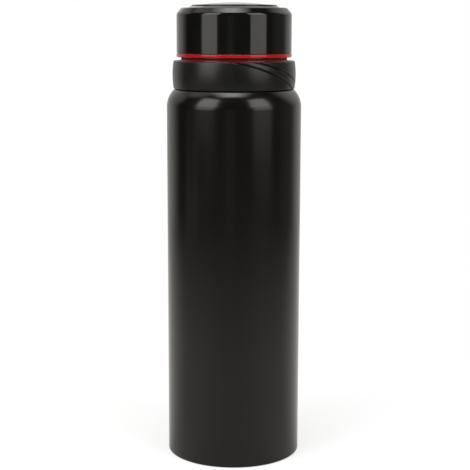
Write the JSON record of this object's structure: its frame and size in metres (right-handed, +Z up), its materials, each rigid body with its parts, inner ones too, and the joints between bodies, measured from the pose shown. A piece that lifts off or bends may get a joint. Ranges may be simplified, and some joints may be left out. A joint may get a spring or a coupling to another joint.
{
  "type": "vacuum flask",
  "caption": "Tall round double-walled vacuum flask in black, with a rounded shoulder, a grooved neck collar and a chamfered screw lid with a red trim ring and a domed top disc.",
  "frame": {"origin": "centre of the foot, on the surface that the flask stands on", "axes": "+Z up along the flask's axis; -Y is the side that the picture shows"},
  "size_m": [0.08, 0.08, 0.2724],
  "materials": {
    "body_paint": "satin black paint",
    "bare_steel": "brushed stainless steel",
    "bright_foil": "bright thin foil",
    "solder_glass": "dark glass solder",
    "getter_metal": "dull sintered metal",
    "collar_plastic": "matt black",
    "lid_lacquer": "gloss black lacquer",
    "red_silicone": "smooth red silicone",
    "core_plastic": "moulded black",
    "milky_silicone": "milky silicone",
    "white_foam": "rigid foam",
    "bezel_plastic": "gloss black",
    "pad_foam": "adhesive foam",
    "disc_steel": "satin polished steel"
  },
  "bodies": {
    "flask": {"outer_shell": "body_paint", "inner_liner": "bare_steel", "radiation_foil": "bright_foil", "base_cover": "bare_steel", "vacuum_plate": "bare_steel", "seal_bead": "solder_glass", "getter_pellet": "getter_metal", "getter_strap": "bare_steel", "neck_collar": "collar_plastic", "neck_cushion": "red_silicone"},
    "seal": {"mouth_gasket": "milky_silicone"},
    "lid": {"lid_cup": "lid_lacquer", "lid_trim_ring": "red_silicone", "lid_core": "core_plastic", "plug_plate": "bare_steel", "insulation_puck": "white_foam", "lid_inner_cover": "core_plastic", "lid_bezel": "bezel_plastic", "disc_pad": "pad_foam", "lid_top_disc": "disc_steel"}
  },
  "joints": [
    {"name": "lid_turn", "type": "hinge", "parent": "seal", "child": "lid", "pos_m": [0, 0, 0.2406], "axis": [0, 0, 1], "range_deg": [0, 1440]},
    {"name": "lid_rise", "type": "slide", "parent": "flask", "child": "seal", "axis": [0, 0, 1], "range_m": [0, 0.032]}
  ],
  "couplings": [
    {"joint": "lid_rise", "follows": "lid_turn", "m_per_rad": 0.0012732}
  ]
}
